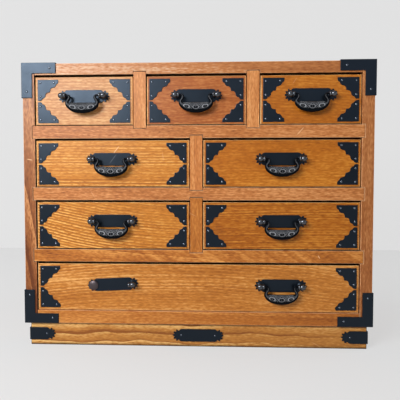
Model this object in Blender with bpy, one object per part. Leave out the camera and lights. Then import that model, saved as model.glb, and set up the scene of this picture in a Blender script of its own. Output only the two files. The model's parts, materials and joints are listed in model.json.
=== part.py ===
"""A small sewing chest with eight drawers and black iron fittings.

Metres, +Z up, the drawers open towards -Y. The origin is on the floor, under the middle of the
whole object's box with the handles counted in.
"""

import math

import bmesh
import bpy
from mathutils import Matrix, Vector

# Clearances
JOINT_GAP = 0.0003
DRAWER_SIDE_GAP = 0.0011
DRAWER_TOP_GAP = 0.0030
DRAWER_FLOOR_GAP = 0.0003
DRAWER_BACK_GAP = 0.0030

# Case
CASE_WIDTH = 0.550
CASE_DEPTH = 0.310
SIDE_THICKNESS = 0.019
TOP_THICKNESS = 0.018
BOTTOM_THICKNESS = 0.021
BACK_THICKNESS = 0.009
BACK_REBATE = 0.007
RAIL_HEIGHT = 0.020
RAIL_DEPTH = 0.040
DUST_BOARD_THICKNESS = 0.009
PARTITION_THICKNESS = 0.0195
HOUSING_DEPTH = 0.0045
FINGER_COUNT = 5
OPENING_HEIGHT = 0.0785
TOP_ROW_EXTRA = 0.0010
DRAWERS_IN_ROW = (3, 2, 2, 1)
ROW_NAMES = ("top", "second", "third", "bottom")
RAIL_NAMES = ("upper", "middle", "lower")

# Plinth
PLINTH_HEIGHT = 0.037
PLINTH_SIDE_INSET = 0.006
PLINTH_FRONT_INSET = 0.005
PLINTH_THICKNESS = 0.018
PLINTH_PLATE_X = 0.0026

# Drawers
DRAWER_RECESS = 0.0010
FRONT_LIP = 0.009
FRONT_THICKNESS = 0.016
FRONT_CHAMFER = 0.0018
TRAY_WALL = 0.008
TRAY_BOTTOM = 0.006
TRAY_SIDE_STEP = 0.0005
TRAY_RIM_DROP = 0.003

# Iron on the case
IRON_THICKNESS = 0.0012
CORNER_IRON_LENGTH = 0.054
CORNER_IRON_WIDTH = 0.0158

# Scalloped corner plates on the drawer fronts
CORNER_PLATE_THICKNESS = 0.0009
CORNER_PLATE_MARGIN = 0.0041
CORNER_PLATE_GAP = 0.0020

# Handle plates
PLATE_BODY_HALF = 0.0290
PLATE_HALF_HEIGHT = 0.010
PLATE_FAN_CENTRE = 0.0310
PLATE_NOTCH = 0.0068
FAN_RADIUS = 0.0097
FAN_VALLEY_RADIUS = 0.0074
FAN_TEETH = 5
FAN_SPREAD = math.radians(138)
HANDLE_HEIGHTS = (0.0458, 0.0446, 0.0456, 0.0427)
LOOSE_PLATE_TILT = math.radians(2.8)

# Posts
POST_X = 0.0315
PIVOT_STANDOFF = 0.0100
NECK_RADIUS = 0.0030
BALL_RADIUS = 0.0045
BALL_OFFSET = 0.0015
COLLAR_RADIUS = 0.0036
COLLAR_WIDTH = 0.0024
GROOVE_SHARE = 0.8
KNUCKLE_INNER = 0.0058
PIN_HOLE_RADIUS = 0.0021
PIN_HOLE_DEPTH = 0.0046
SHANK_RADIUS = 0.0016
RIVET_RADIUS = 0.0034
RIVET_THICKNESS = 0.0015
STUD_RADIUS = 0.0080
STUD_HEIGHT = 0.0032

# Bails
BAIL_DROP = 0.0199
BAIL_HALF_SPAN = 0.0238
BAIL_WAIST = 0.0110
BAIL_NECK = 0.0202
SHOULDER_RADIUS = 0.0028
BELLY_HEIGHT = 0.0161
BELLY_DEPTH = 0.0080
ARM_DIAMETER = 0.0044
ARM_DEPTH = 0.0042
ARM_SWELL = 0.0006
PIN_RADIUS = 0.0016
PIN_REACH = 0.0290
BAIL_SIDES = 8
BELLY_STEPS = 5
ROUND_SIDES = 8
KNUCKLE_SIDES = 10

# Places that follow from the sizes
INNER_HALF = CASE_WIDTH / 2 - SIDE_THICKNESS
CASE_BOTTOM = PLINTH_HEIGHT
OPENING_HEIGHTS = (
    OPENING_HEIGHT + TOP_ROW_EXTRA, OPENING_HEIGHT - TOP_ROW_EXTRA, OPENING_HEIGHT, OPENING_HEIGHT,
)
CASE_TOP = CASE_BOTTOM + BOTTOM_THICKNESS + sum(OPENING_HEIGHTS) + 3 * RAIL_HEIGHT + TOP_THICKNESS
HANDLE_REACH = PIVOT_STANDOFF + max(BALL_RADIUS, BELLY_DEPTH / 2)
FRONT_Y = (HANDLE_REACH - DRAWER_RECESS - CASE_DEPTH) / 2
BACK_Y = FRONT_Y + CASE_DEPTH
BACK_PANEL_Y = BACK_Y - BACK_THICKNESS
RAIL_BACK_Y = FRONT_Y + RAIL_DEPTH
FACE_Y = FRONT_Y + DRAWER_RECESS
DRAWER_LENGTH = BACK_PANEL_Y - DRAWER_BACK_GAP - FACE_Y
PAST = 0.010


def row_floor(row):
    """Height that the drawers of a row slide on, row 0 being the top one."""
    below = OPENING_HEIGHTS[row + 1:]
    return CASE_BOTTOM + BOTTOM_THICKNESS + sum(below) + len(below) * RAIL_HEIGHT


def opening_width(count):
    return (2 * INNER_HALF - (count - 1) * PARTITION_THICKNESS) / count


def column_centres(count):
    pitch = opening_width(count) + PARTITION_THICKNESS
    return [(i - (count - 1) / 2) * pitch for i in range(count)]


def partition_centres(count):
    centres = column_centres(count)
    return [(a + b) / 2 for a, b in zip(centres, centres[1:])]


def make_material(name, colour, roughness, metallic):
    material = bpy.data.materials.new(name)
    material.use_nodes = True
    shader = material.node_tree.nodes["Principled BSDF"]
    shader.inputs["Base Color"].default_value = (*colour, 1)
    shader.inputs["Roughness"].default_value = roughness
    shader.inputs["Metallic"].default_value = metallic
    material.diffuse_color = (*colour, 1)
    return material


def add_object(name, bm, material=None, parent=None, location=(0, 0, 0), smooth=False):
    bmesh.ops.recalc_face_normals(bm, faces=bm.faces)
    mesh = bpy.data.meshes.new(name)
    bm.to_mesh(mesh)
    bm.free()
    if smooth:
        mesh.shade_smooth()
        mesh.set_sharp_from_angle(angle=math.radians(40))
    obj = bpy.data.objects.new(name, mesh)
    obj.location = location
    obj.parent = parent
    if material:
        mesh.materials.append(material)
    bpy.context.scene.collection.objects.link(obj)
    return obj


def add_helper(name, bm, parent=None):
    """A shape that only cuts or adds to other pieces."""
    obj = add_object(name, bm, parent=parent)
    obj.hide_render = True
    obj.display_type = "WIRE"
    return obj


def add_empty(name, location, parent=None):
    empty = bpy.data.objects.new(name, None)
    empty.location = location
    empty.parent = parent
    bpy.context.scene.collection.objects.link(empty)
    return empty


def combine(obj, other, operation):
    step = obj.modifiers.new(other.name, "BOOLEAN")
    step.operation = operation
    step.solver = "EXACT"
    step.object = other


def add_block(bm, low, high):
    low = Vector(low)
    high = Vector(high)
    place = Matrix.LocRotScale((low + high) / 2, None, high - low)
    bmesh.ops.create_cube(bm, size=1, matrix=place)


def block(low, high):
    bm = bmesh.new()
    add_block(bm, low, high)
    return bm


def add_prism(bm, outline, axis, start, end):
    """Extrudes a flat outline along an axis; its points are the other two coordinates in order."""
    index = "XYZ".index(axis)
    verts = []
    for point in outline:
        place = list(point)
        place.insert(index, start)
        verts.append(bm.verts.new(place))
    face = bm.faces.new(verts)
    made = bmesh.ops.extrude_face_region(bm, geom=[face])["geom"]
    shift = Vector((0, 0, 0))
    shift[index] = end - start
    moved = [v for v in made if isinstance(v, bmesh.types.BMVert)]
    bmesh.ops.translate(bm, vec=shift, verts=moved)


def prism(outline, axis, start, end):
    bm = bmesh.new()
    add_prism(bm, outline, axis, start, end)
    return bm


def add_lathe(bm, profile, axis, centre, sides):
    """Turns a profile of (distance along the axis, radius) round an axis through a centre."""
    index = "XYZ".index(axis)
    verts = []
    for along, radius in profile:
        place = Vector(centre)
        place[index] += along
        place[(index + 1) % 3] += radius
        verts.append(bm.verts.new(place))
    edges = [bm.edges.new(pair) for pair in zip(verts, verts[1:])]
    direction = Vector((0, 0, 0))
    direction[index] = 1
    made = bmesh.ops.spin(
        bm, geom=verts + edges, cent=centre, axis=direction, dvec=(0, 0, 0),
        angle=2 * math.pi, steps=sides, use_merge=True, use_duplicate=False,
    )
    ends = {v for v in made["geom_last"] if isinstance(v, bmesh.types.BMVert)}
    bmesh.ops.remove_doubles(bm, verts=list(set(bm.verts) | ends), dist=1e-6)


def lathe(profile, axis, centre, sides):
    bm = bmesh.new()
    add_lathe(bm, profile, axis, centre, sides)
    return bm


def loft(rings):
    """Joins rings of points, all with the same number, into one closed skin."""
    bm = bmesh.new()
    rows = [[bm.verts.new(point) for point in ring] for ring in rings]
    for a, b in zip(rows, rows[1:]):
        for i in range(len(a)):
            j = (i + 1) % len(a)
            bm.faces.new((a[i], a[j], b[j], b[i]))
    bm.faces.new(rows[0])
    bm.faces.new(rows[-1])
    return bm


def sheet_iron(name, faces, material):
    """Plate iron folded along the edges that its faces share; it grows outwards from the wood."""
    bm = bmesh.new()
    verts = {}
    for face in faces:
        corners = []
        for point in face:
            key = tuple(round(value, 6) for value in point)
            if key not in verts:
                verts[key] = bm.verts.new(point)
            corners.append(verts[key])
        bm.faces.new(corners)
    obj = add_object(name, bm, material)
    skin = obj.modifiers.new("Plate", "SOLIDIFY")
    skin.thickness = IRON_THICKNESS
    skin.offset = 1
    skin.use_even_offset = True
    return obj


def bezier(start, control, end, steps):
    points = []
    for i in range(1, steps + 1):
        t = i / steps
        weights = ((1 - t) ** 2, 2 * t * (1 - t), t * t)
        ends = (start, control, end)
        points.append(tuple(sum(w * p[k] for w, p in zip(weights, ends)) for k in (0, 1)))
    return points


def corner_plate_outline(leg):
    """Outline from the plate's square corner, legs along +u and +v.

    Each leg ends in a small lobe, then a larger lobe and a bite lead to the point in the middle.
    """
    half = [(1, 0), (1, 0.10)]
    half += bezier((1, 0.10), (1, 0.19), (0.91, 0.22), 2)
    half += bezier((0.91, 0.22), (0.87, 0.36), (0.74, 0.38), 3)
    half += bezier((0.74, 0.38), (0.60, 0.385), (0.60, 0.60), 3)
    outline = [(0, 0)] + half + [(v, u) for u, v in reversed(half[:-1])]
    return [(leg * u, leg * v) for u, v in outline]


def fan_points():
    """One serrated end, from its top notch round to its bottom notch."""
    points = [(PLATE_FAN_CENTRE, PLATE_NOTCH)]
    count = 2 * FAN_TEETH - 1
    for i in range(count):
        angle = FAN_SPREAD * (0.5 - i / (count - 1))
        radius = FAN_VALLEY_RADIUS if i % 2 else FAN_RADIUS
        points.append((PLATE_FAN_CENTRE + radius * math.cos(angle), radius * math.sin(angle)))
    points.append((PLATE_FAN_CENTRE, -PLATE_NOTCH))
    return points


def plate_outline():
    """The handle plate: a straight body with a serrated fan at both ends."""
    right = [(PLATE_BODY_HALF, PLATE_HALF_HEIGHT)] + fan_points()
    right.append((PLATE_BODY_HALF, -PLATE_HALF_HEIGHT))
    return right + [(-x, z) for x, z in reversed(right)]


def comb(own_fingers_even, finger_level, notch_level):
    """Points (y, level) along the case's depth, stepping between a board's fingers and its notches."""
    step = CASE_DEPTH / FINGER_COUNT
    points = []
    for i in range(FINGER_COUNT):
        own = (i % 2 == 0) == own_fingers_even
        trim = JOINT_GAP / 2 if own else -JOINT_GAP / 2
        start = FRONT_Y + i * step + (trim if i else 0)
        end = FRONT_Y + (i + 1) * step - (trim if i < FINGER_COUNT - 1 else 0)
        level = finger_level if own else notch_level
        points += [(start, level), (end, level)]
    return points


def notched_edge(level, notch_level, centres):
    """Points (x, z) along a rail's edge from left to right, with a notch at each partition."""
    half = PARTITION_THICKNESS / 2 + JOINT_GAP
    points = [(-INNER_HALF - HOUSING_DEPTH, level)]
    for x in centres:
        points += [(x - half, level), (x - half, notch_level)]
        points += [(x + half, notch_level), (x + half, level)]
    return points + [(INNER_HALF + HOUSING_DEPTH, level)]


def build_case(woods):
    """Boards of the case, finger jointed at the corners, with the shelves housed in the sides."""
    wood = woods["case"]

    housings = bmesh.new()
    for row in (0, 1, 2):
        top = row_floor(row) + JOINT_GAP
        rail_low = row_floor(row) - RAIL_HEIGHT - JOINT_GAP
        board_low = row_floor(row) - DUST_BOARD_THICKNESS - JOINT_GAP
        step_y = RAIL_BACK_Y + JOINT_GAP
        outline = [
            (FRONT_Y - PAST, rail_low), (step_y, rail_low), (step_y, board_low),
            (BACK_PANEL_Y, board_low), (BACK_PANEL_Y, top), (FRONT_Y - PAST, top),
        ]
        reach = INNER_HALF + HOUSING_DEPTH + JOINT_GAP
        add_prism(housings, outline, "X", -reach, reach)
    shelf_cutter = add_helper("shelf_housings", housings)

    panel_half = INNER_HALF + BACK_REBATE
    panel_low = CASE_BOTTOM + BOTTOM_THICKNESS - BACK_REBATE
    panel_high = CASE_TOP - TOP_THICKNESS + BACK_REBATE
    panel_cutter = add_helper("back_rebate", block(
        (-panel_half - JOINT_GAP, BACK_PANEL_Y - JOINT_GAP, panel_low - JOINT_GAP),
        (panel_half + JOINT_GAP, BACK_Y + PAST, panel_high + JOINT_GAP),
    ))
    add_object("back_panel", block(
        (-panel_half, BACK_PANEL_Y, panel_low), (panel_half, BACK_Y, panel_high),
    ), woods["inner"])

    upper = comb(True, CASE_TOP, CASE_TOP - TOP_THICKNESS - JOINT_GAP)
    lower = comb(True, CASE_BOTTOM, CASE_BOTTOM + BOTTOM_THICKNESS + JOINT_GAP)
    for name, inner, outer in (
        ("left_side", -INNER_HALF, -CASE_WIDTH / 2),
        ("right_side", INNER_HALF, CASE_WIDTH / 2),
    ):
        side = add_object(name, prism(upper + lower[::-1], "X", inner, outer), wood)
        combine(side, shelf_cutter, "DIFFERENCE")
        combine(side, panel_cutter, "DIFFERENCE")

    edge = comb(False, CASE_WIDTH / 2, INNER_HALF - JOINT_GAP)
    outline = [(x, y) for y, x in edge] + [(-x, y) for y, x in reversed(edge)]
    top = add_object("top_board", prism(outline, "Z", CASE_TOP - TOP_THICKNESS, CASE_TOP), wood)
    bottom_top = CASE_BOTTOM + BOTTOM_THICKNESS
    bottom = add_object("bottom_board", prism(outline, "Z", CASE_BOTTOM, bottom_top), wood)
    combine(top, panel_cutter, "DIFFERENCE")
    combine(bottom, panel_cutter, "DIFFERENCE")
    grooves = bmesh.new()
    half = PARTITION_THICKNESS / 2 + JOINT_GAP
    for x in partition_centres(DRAWERS_IN_ROW[0]):
        add_block(
            grooves,
            (x - half, FRONT_Y - PAST, CASE_TOP - TOP_THICKNESS - PAST),
            (x + half, BACK_PANEL_Y, CASE_TOP - TOP_THICKNESS + HOUSING_DEPTH + JOINT_GAP),
        )
    combine(top, add_helper("partition_grooves", grooves), "DIFFERENCE")

    for row, name in enumerate(RAIL_NAMES):
        high = row_floor(row)
        low = high - RAIL_HEIGHT
        depth = HOUSING_DEPTH + JOINT_GAP
        over = notched_edge(high, high - depth, partition_centres(DRAWERS_IN_ROW[row]))
        under = notched_edge(low, low + depth, partition_centres(DRAWERS_IN_ROW[row + 1]))
        add_object(name + "_rail", prism(over + under[::-1], "Y", FRONT_Y, RAIL_BACK_Y), wood)
        reach = INNER_HALF + HOUSING_DEPTH
        add_object(name + "_dust_board", block(
            (-reach, RAIL_BACK_Y + JOINT_GAP, high - DUST_BOARD_THICKNESS),
            (reach, BACK_PANEL_Y - JOINT_GAP, high),
        ), woods["inner"])

    for row, count in enumerate(DRAWERS_IN_ROW):
        floor = row_floor(row)
        ceiling = floor + OPENING_HEIGHTS[row]
        head = ceiling + HOUSING_DEPTH
        foot = floor - HOUSING_DEPTH
        end_y = BACK_PANEL_Y - JOINT_GAP
        seat = floor + JOINT_GAP
        outline = [(FRONT_Y, foot), (RAIL_BACK_Y, foot), (RAIL_BACK_Y, seat), (end_y, seat)]
        if row:
            under_board = ceiling + RAIL_HEIGHT - DUST_BOARD_THICKNESS - JOINT_GAP
            step_y = RAIL_BACK_Y + JOINT_GAP
            outline += [(end_y, under_board), (step_y, under_board), (step_y, head), (FRONT_Y, head)]
        else:
            outline += [(end_y, head), (FRONT_Y, head)]
        sides = ("left_", "right_") if count == 3 else ("",)
        for side, x in zip(sides, partition_centres(count)):
            half = PARTITION_THICKNESS / 2
            name = f"{ROW_NAMES[row]}_{side}partition"
            add_object(name, prism(outline, "X", x - half, x + half), wood)


def build_plinth(wood):
    half = CASE_WIDTH / 2 - PLINTH_SIDE_INSET
    high = PLINTH_HEIGHT - JOINT_GAP
    front = FRONT_Y + PLINTH_FRONT_INSET
    near = front + PLINTH_THICKNESS
    far = BACK_Y - PLINTH_THICKNESS
    add_object("plinth_front", block((-half, front, 0), (half, near, high)), wood)
    add_object("plinth_back", block((-half, far, 0), (half, BACK_Y, high)), wood)
    low_y = near + JOINT_GAP
    high_y = far - JOINT_GAP
    add_object("plinth_left", block((-half, low_y, 0), (-half + PLINTH_THICKNESS, high_y, high)), wood)
    add_object("plinth_right", block((half - PLINTH_THICKNESS, low_y, 0), (half, high_y, high)), wood)


def angle_outline():
    """L outline from its outer corner, arms along +u and +v."""
    long = CORNER_IRON_LENGTH
    wide = CORNER_IRON_WIDTH
    return [(0, 0), (long, 0), (long, wide), (wide, wide), (wide, long), (0, long)]


def build_case_iron(iron):
    """Corner irons folded over the case's corners, and the plates on the plinth."""
    outline = angle_outline()
    x = CASE_WIDTH / 2 + JOINT_GAP
    y = FRONT_Y - JOINT_GAP
    for level, z, up in (("top", CASE_TOP + JOINT_GAP, -1), ("bottom", CASE_BOTTOM, 1)):
        for side, sign in (("left", 1), ("right", -1)):
            edge = -x * sign
            faces = [
                [(edge + u * sign, y, z + v * up) for u, v in outline],
                [(edge, y + u, z + v * up) for u, v in outline],
            ]
            if level == "top":
                faces.append([(edge + u * sign, y + v, z) for u, v in outline])
            sheet_iron(f"{level}_{side}_corner_iron", faces, iron)

    middle_z = PLINTH_HEIGHT / 2
    front = FRONT_Y + PLINTH_FRONT_INSET - JOINT_GAP
    add_object("plinth_plate", prism(
        [(u + PLINTH_PLATE_X, v + middle_z) for u, v in plate_outline()], "Y", front - IRON_THICKNESS, front,
    ), iron)
    edge = CASE_WIDTH / 2 - PLINTH_SIDE_INSET + JOINT_GAP
    half = [(0, PLATE_HALF_HEIGHT), (PLATE_BODY_HALF, PLATE_HALF_HEIGHT)] + fan_points()
    half += [(PLATE_BODY_HALF, -PLATE_HALF_HEIGHT), (0, -PLATE_HALF_HEIGHT)]
    for side, sign in (("left", 1), ("right", -1)):
        faces = [
            [(sign * (u - edge), front, v + middle_z) for u, v in half],
            [(-sign * edge, front + u, v + middle_z) for u, v in half],
        ]
        sheet_iron(f"plinth_{side}_wrap", faces, iron)


def post_parts(signs):
    """Necks with their riveted shanks, knuckles, pin holes, and the holes the shanks go through."""
    necks = bmesh.new()
    knuckles = bmesh.new()
    pin_holes = bmesh.new()
    rivet = FRONT_THICKNESS + JOINT_GAP
    for sign in signs:
        base = (sign * POST_X, 0, 0)
        add_lathe(necks, [
            (rivet + RIVET_THICKNESS, 0), (rivet + RIVET_THICKNESS, RIVET_RADIUS), (rivet, RIVET_RADIUS),
            (rivet, SHANK_RADIUS), (-IRON_THICKNESS, SHANK_RADIUS), (-IRON_THICKNESS, NECK_RADIUS),
            (-PIVOT_STANDOFF, NECK_RADIUS), (-PIVOT_STANDOFF, 0),
        ], "Y", base, ROUND_SIDES)
        pivot = (sign * POST_X, -PIVOT_STANDOFF, 0)
        inner = -KNUCKLE_INNER
        collar = inner + COLLAR_WIDTH
        profile = [(inner, 0), (inner, COLLAR_RADIUS), (collar, COLLAR_RADIUS)]
        profile.append((collar, COLLAR_RADIUS * GROOVE_SHARE))
        for angle in (135, 90, 45):
            turn = math.radians(angle)
            profile.append((BALL_OFFSET + BALL_RADIUS * math.cos(turn), BALL_RADIUS * math.sin(turn)))
        profile.append((BALL_OFFSET + BALL_RADIUS, 0))
        turned = [(along * sign, radius) for along, radius in profile]
        add_lathe(knuckles, turned, "X", pivot, KNUCKLE_SIDES)
        mouth = sign * (inner - PAST / 4)
        bottom = sign * (inner + PIN_HOLE_DEPTH)
        add_lathe(pin_holes, [
            (mouth, 0), (mouth, PIN_HOLE_RADIUS), (bottom, PIN_HOLE_RADIUS), (bottom, 0),
        ], "X", pivot, ROUND_SIDES)
    return necks, knuckles, pin_holes


def shank_holes():
    holes = bmesh.new()
    radius = SHANK_RADIUS + JOINT_GAP
    for sign in (-1, 1):
        far = FRONT_THICKNESS + PAST
        profile = [(-PAST / 4, 0), (-PAST / 4, radius), (far, radius), (far, 0)]
        add_lathe(holes, profile, "Y", (sign * POST_X, 0, 0), ROUND_SIDES)
    return holes


def bail_rings():
    """Rings along the bail from its left pin to its right pin, the pivot axis through the origin."""
    arm = ARM_DIAMETER / 2
    deep = ARM_DEPTH / 2
    root = arm + ARM_SWELL
    stations = []
    for i in range(BELLY_STEPS + 1):
        turn = math.pi / 2 * i / BELLY_STEPS
        x = BAIL_HALF_SPAN * math.sin(turn)
        z = -BAIL_WAIST - (BAIL_DROP - BAIL_WAIST) * math.cos(turn)
        share = max(math.cos(turn), 0) ** 1.3
        thick = root + (BELLY_HEIGHT / 2 - root) * share
        stations.append((x, z, thick, deep + (BELLY_DEPTH / 2 - deep) * share))
    start = Vector((BAIL_HALF_SPAN, -BAIL_WAIST))
    end = Vector((BAIL_NECK, -SHOULDER_RADIUS))
    pull = Vector((0, 0.4 * (BAIL_WAIST - SHOULDER_RADIUS)))
    for i in range(1, 4):
        t = i / 4
        place = (1 - t) ** 3 * start + 3 * t * (1 - t) ** 2 * (start + pull)
        place += 3 * t * t * (1 - t) * (end - pull) + t ** 3 * end
        stations.append((place.x, place.y, arm + ARM_SWELL * (1 - t), deep))
    for i in range(4):
        turn = math.pi / 2 * i / 3
        size = arm + (PIN_RADIUS - arm) * i / 3
        x = BAIL_NECK + SHOULDER_RADIUS * (1 - math.cos(turn))
        z = SHOULDER_RADIUS * (math.sin(turn) - 1)
        stations.append((x, z, size, deep + (PIN_RADIUS - deep) * i / 3))
    stations.append((PIN_REACH, 0, PIN_RADIUS, PIN_RADIUS))
    path = [(-x, z, high, wide) for x, z, high, wide in reversed(stations[1:])] + stations
    rings = []
    for i, (x, z, high, wide) in enumerate(path):
        before = path[max(i - 1, 0)]
        after = path[min(i + 1, len(path) - 1)]
        along = Vector((after[0] - before[0], after[1] - before[1]))
        if i in (0, len(path) - 1):
            along = Vector((1, 0))
        along.normalize()
        across = Vector((-along.y, along.x))
        ring = []
        for k in range(BAIL_SIDES):
            turn = 2 * math.pi * k / BAIL_SIDES
            out = across * high * math.cos(turn)
            ring.append((x + out.x, wide * math.sin(turn), z + out.y))
        rings.append(ring)
    return rings


def build_handle(name, drawer, front, x, height, iron, cast, whole=True):
    """A plate with its posts and bail; the worn one has a stud for its left post, and no bail."""
    place = add_empty(name + "_handle", (x, 0, height), drawer)
    combine(front, add_helper(name + "_shank_holes", shank_holes(), place), "DIFFERENCE")
    back = -JOINT_GAP
    plate = add_object(
        name + "_handle_plate", prism(plate_outline(), "Y", back - IRON_THICKNESS, back), iron, place,
        smooth=True,
    )
    necks, knuckles, pin_holes = post_parts((-1, 1) if whole else (1,))
    combine(plate, add_helper(name + "_necks", necks, place), "UNION")
    combine(plate, add_helper(name + "_knuckles", knuckles, place), "UNION")
    combine(plate, add_helper(name + "_pin_holes", pin_holes, place), "DIFFERENCE")
    if whole:
        add_object(name + "_bail", loft(bail_rings()), cast, place, (0, -PIVOT_STANDOFF, 0), smooth=True)
        return
    place.rotation_euler.y = -LOOSE_PLATE_TILT
    hole = SHANK_RADIUS + JOINT_GAP
    profile = [(-PAST, 0), (-PAST, hole), (PAST, hole), (PAST, 0)]
    cutter = lathe(profile, "Y", (-POST_X, 0, 0), ROUND_SIDES)
    combine(plate, add_helper(name + "_stud_hole", cutter, place), "DIFFERENCE")
    seat = back - IRON_THICKNESS - JOINT_GAP
    rivet = FRONT_THICKNESS + JOINT_GAP
    profile = [
        (rivet + RIVET_THICKNESS, 0), (rivet + RIVET_THICKNESS, RIVET_RADIUS), (rivet, RIVET_RADIUS),
        (rivet, SHANK_RADIUS), (seat, SHANK_RADIUS), (seat, STUD_RADIUS),
    ]
    for i in (1, 2, 3):
        turn = math.pi / 8 * i
        profile.append((seat - STUD_HEIGHT * math.sin(turn), STUD_RADIUS * math.cos(turn)))
    profile.append((seat - STUD_HEIGHT, 0))
    stud = lathe(profile, "Y", (-POST_X, 0, 0), 2 * ROUND_SIDES)
    add_object(name + "_stud", stud, cast, place, smooth=True)


def build_drawer(name, x, row, width, woods, iron, cast):
    """One drawer: its front with four raised corner plates, its tray and its handles."""
    drawer = add_empty(name + "_drawer", (x, FACE_Y, row_floor(row)))
    half = width / 2
    low = DRAWER_FLOOR_GAP
    high = OPENING_HEIGHTS[row] - DRAWER_TOP_GAP
    outer = half - TRAY_SIDE_STEP
    inner = outer - TRAY_WALL
    rim = high - TRAY_RIM_DROP
    floor = low + TRAY_BOTTOM

    def ring(reach, bottom, top, y):
        return [(-reach, y, bottom), (reach, y, bottom), (reach, y, top), (-reach, y, top)]

    edge = FRONT_CHAMFER
    tongue = (inner - JOINT_GAP, floor + JOINT_GAP, rim)
    front = add_object(name + "_front", loft([
        ring(half - edge, low + edge, high - edge, 0),
        ring(half, low, high, edge),
        ring(half, low, high, FRONT_LIP),
        ring(*tongue, FRONT_LIP),
        ring(*tongue, FRONT_THICKNESS),
    ]), woods["front"], drawer)

    plates = bmesh.new()
    leg = (high - low) / 2 - CORNER_PLATE_MARGIN - CORNER_PLATE_GAP / 2
    for side in (-1, 1):
        for end, level in ((1, low), (-1, high)):
            corner_x = side * (half - CORNER_PLATE_MARGIN)
            corner_z = level + end * CORNER_PLATE_MARGIN
            points = corner_plate_outline(leg)
            outline = [(corner_x - side * u, corner_z + end * v) for u, v in points]
            add_prism(plates, outline, "Y", -CORNER_PLATE_THICKNESS, FRONT_LIP / 2)
    combine(front, add_helper(name + "_corner_plates", plates, drawer), "UNION")

    tray = add_object(name + "_tray", block(
        (-outer, FRONT_LIP + JOINT_GAP, low), (outer, DRAWER_LENGTH, rim),
    ), woods["inner"], drawer)
    cavity = block((-inner, 0, floor), (inner, DRAWER_LENGTH - TRAY_WALL, rim + PAST))
    combine(tray, add_helper(name + "_cavity", cavity, drawer), "DIFFERENCE")

    height = HANDLE_HEIGHTS[row]
    if DRAWERS_IN_ROW[row] > 1:
        build_handle(name, drawer, front, 0, height, iron, cast)
        return
    left_x, right_x = column_centres(2)
    build_handle(name + "_left", drawer, front, left_x, height, iron, cast, whole=False)
    build_handle(name + "_right", drawer, front, right_x, height, iron, cast)


def build():
    for obj in list(bpy.data.objects):
        bpy.data.objects.remove(obj)
    woods = {
        "case": make_material("case_wood", (0.42, 0.165, 0.060), 0.45, 0),
        "front": make_material("front_wood", (0.50, 0.205, 0.060), 0.42, 0),
        "inner": make_material("inner_wood", (0.55, 0.38, 0.22), 0.70, 0),
    }
    iron = make_material("black_plate_iron", (0.020, 0.022, 0.030), 0.40, 0.7)
    cast = make_material("black_cast_iron", (0.018, 0.018, 0.022), 0.35, 0.8)
    build_case(woods)
    build_plinth(woods["case"])
    build_case_iron(iron)
    columns = {1: ("",), 2: ("_left", "_right"), 3: ("_left", "_middle", "_right")}
    for row, count in enumerate(DRAWERS_IN_ROW):
        width = opening_width(count) - 2 * DRAWER_SIDE_GAP
        for side, x in zip(columns[count], column_centres(count)):
            build_drawer(ROW_NAMES[row] + side, x, row, width, woods, iron, cast)


build()
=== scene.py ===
"""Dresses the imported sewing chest: its wood, its black iron fittings, the light and the camera."""

import json
import math

import bmesh
import bpy
from mathutils import Matrix, Vector

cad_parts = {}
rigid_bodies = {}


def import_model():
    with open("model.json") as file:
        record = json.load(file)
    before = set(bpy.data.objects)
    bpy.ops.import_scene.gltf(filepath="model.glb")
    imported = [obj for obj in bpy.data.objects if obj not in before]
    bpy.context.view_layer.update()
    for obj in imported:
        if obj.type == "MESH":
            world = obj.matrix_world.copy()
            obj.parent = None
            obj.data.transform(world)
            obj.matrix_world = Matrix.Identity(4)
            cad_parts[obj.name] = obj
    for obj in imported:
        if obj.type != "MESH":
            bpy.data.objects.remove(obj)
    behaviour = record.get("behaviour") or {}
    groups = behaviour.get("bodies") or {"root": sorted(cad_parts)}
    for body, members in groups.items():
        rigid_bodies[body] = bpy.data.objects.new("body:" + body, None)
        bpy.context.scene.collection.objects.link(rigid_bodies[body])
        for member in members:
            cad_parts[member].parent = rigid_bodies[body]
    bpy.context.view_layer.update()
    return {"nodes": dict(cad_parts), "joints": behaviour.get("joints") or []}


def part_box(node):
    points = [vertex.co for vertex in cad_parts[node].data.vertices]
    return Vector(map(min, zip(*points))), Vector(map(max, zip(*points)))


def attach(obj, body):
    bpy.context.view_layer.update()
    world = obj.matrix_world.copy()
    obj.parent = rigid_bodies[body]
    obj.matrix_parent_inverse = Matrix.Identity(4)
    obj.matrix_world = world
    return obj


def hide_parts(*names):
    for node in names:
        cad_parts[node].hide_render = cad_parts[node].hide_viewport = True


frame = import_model()

# Sizes of the iron, in metres
PLATE_THICKNESS = 0.0012
CORNER_PLATE_THICKNESS = 0.0009
CORNER_PLATE_MARGIN = 0.0041
CORNER_PLATE_GAP = 0.0020
SEAT_GAP = 0.0003
PIVOT_STANDOFF = 0.0100
POST_X = 0.0315
NAIL_RADIUS = 0.0018
NAIL_HEIGHT = 0.0011
NAIL_SINK = 0.0004
NAIL_SIDES = 16
LOOSE_PLATE_TILT = math.radians(2.8)

# Turns between faces, in degrees, past which an edge is drawn sharp
PLATE_TURN = 15
ROUND_TURN = 38
DOME_TURN = 60

# Drawer fronts
FRONT_LIP = 0.009
TONGUE_SIDE = 0.0088
TONGUE_LOW = 0.0063
TONGUE_HIGH = 0.003


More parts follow.
